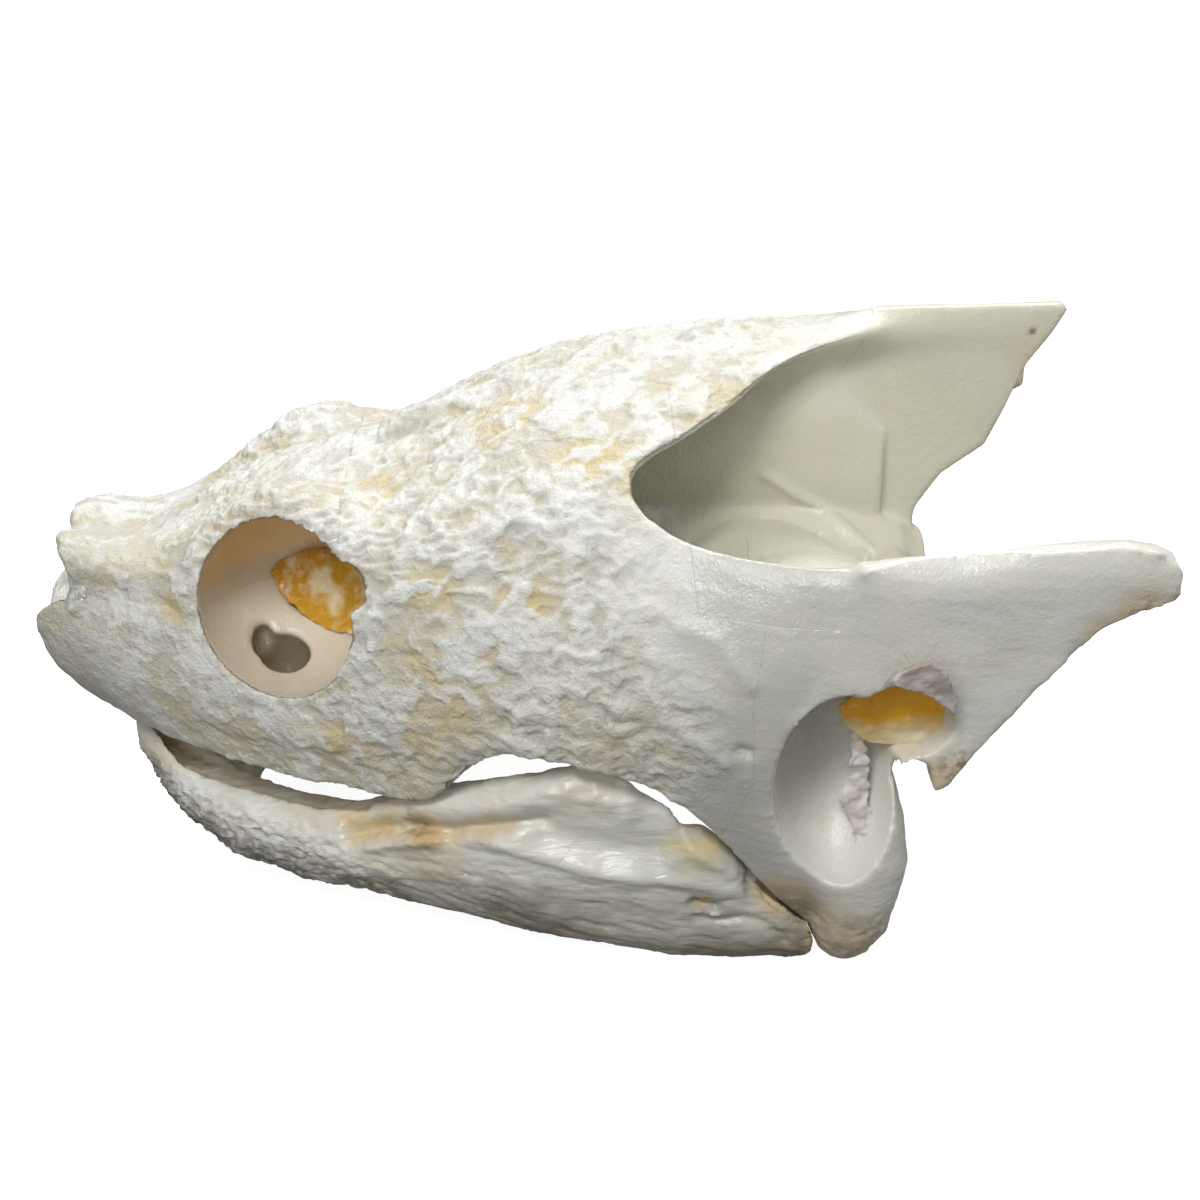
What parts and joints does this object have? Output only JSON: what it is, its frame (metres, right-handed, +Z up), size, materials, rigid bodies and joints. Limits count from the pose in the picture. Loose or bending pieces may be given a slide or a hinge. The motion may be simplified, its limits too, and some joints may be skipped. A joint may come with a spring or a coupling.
{
  "type": "snapping turtle skull",
  "caption": "Turtle skull with its lower jaw: pitted roof, round eye sockets, ear hollows, long crest and horns behind. It lies on its jaw hinges.",
  "frame": {"origin": "middle of the underside of the skull's bounding box, on the floor", "axes": "+X runs from the snout to the back of the skull, +Y to its right side, +Z up"},
  "size_m": [0.1178, 0.0726, 0.0626],
  "materials": {
    "premaxilla": "dry bone, pitted and ridged outside, cream with pale yellow stains in the pits",
    "vomer": "dry bone with brown stains in its hollows",
    "frontal": "dry bone, pitted and ridged outside, cream with pale yellow stains in the pits",
    "parietal": "dry bone, pitted and ridged outside, cream with pale yellow stains in the pits",
    "supraoccipital": "smooth dry bone with a soft sheen, ragged at its rear edge",
    "braincase": "smooth dry bone with a soft sheen",
    "pterygoid": "smooth dry bone with a soft sheen",
    "dentary": "dry bone, fibrous and stained brown along its upper edge, grey in the pits at the chin",
    "maxilla_left": "dry bone, pitted and ridged outside, cream with pale yellow stains in the pits",
    "maxilla_right": "dry bone, pitted and ridged outside, cream with pale yellow stains in the pits",
    "prefrontal_left": "dry bone, pitted and ridged outside, cream with pale yellow stains in the pits",
    "prefrontal_right": "dry bone, pitted and ridged outside, cream with pale yellow stains in the pits",
    "postorbital_left": "dry bone, pitted and ridged outside, cream with pale yellow stains in the pits",
    "postorbital_right": "dry bone, pitted and ridged outside, cream with pale yellow stains in the pits",
    "jugal_left": "dry bone, pitted and ridged outside, cream with pale yellow stains in the pits",
    "jugal_right": "dry bone, pitted and ridged outside, cream with pale yellow stains in the pits",
    "quadratojugal_left": "smooth dry bone with a soft sheen, cream",
    "quadratojugal_right": "smooth dry bone with a soft sheen, cream",
    "squamosal_left": "smooth dry bone with a soft sheen, cream",
    "squamosal_right": "smooth dry bone with a soft sheen, cream",
    "quadrate_left": "smooth dry bone, orange in the top of the ear cavity, rough at the knuckle",
    "quadrate_right": "smooth dry bone, orange in the top of the ear cavity, rough at the knuckle",
    "surangular_left": "fibrous dry bone with a soft sheen, cream",
    "surangular_right": "fibrous dry bone with a soft sheen, cream"
  },
  "bodies": {
    "root": {"premaxilla": "premaxilla", "vomer": "vomer", "frontal": "frontal", "parietal": "parietal", "supraoccipital": "supraoccipital", "braincase": "braincase", "pterygoid": "pterygoid", "dentary": "dentary", "maxilla_left": "maxilla_left", "maxilla_right": "maxilla_right", "prefrontal_left": "prefrontal_left", "prefrontal_right": "prefrontal_right", "postorbital_left": "postorbital_left", "postorbital_right": "postorbital_right", "jugal_left": "jugal_left", "jugal_right": "jugal_right", "quadratojugal_left": "quadratojugal_left", "quadratojugal_right": "quadratojugal_right", "squamosal_left": "squamosal_left", "squamosal_right": "squamosal_right", "quadrate_left": "quadrate_left", "quadrate_right": "quadrate_right", "surangular_left": "surangular_left", "surangular_right": "surangular_right"}
  },
  "joints": []
}
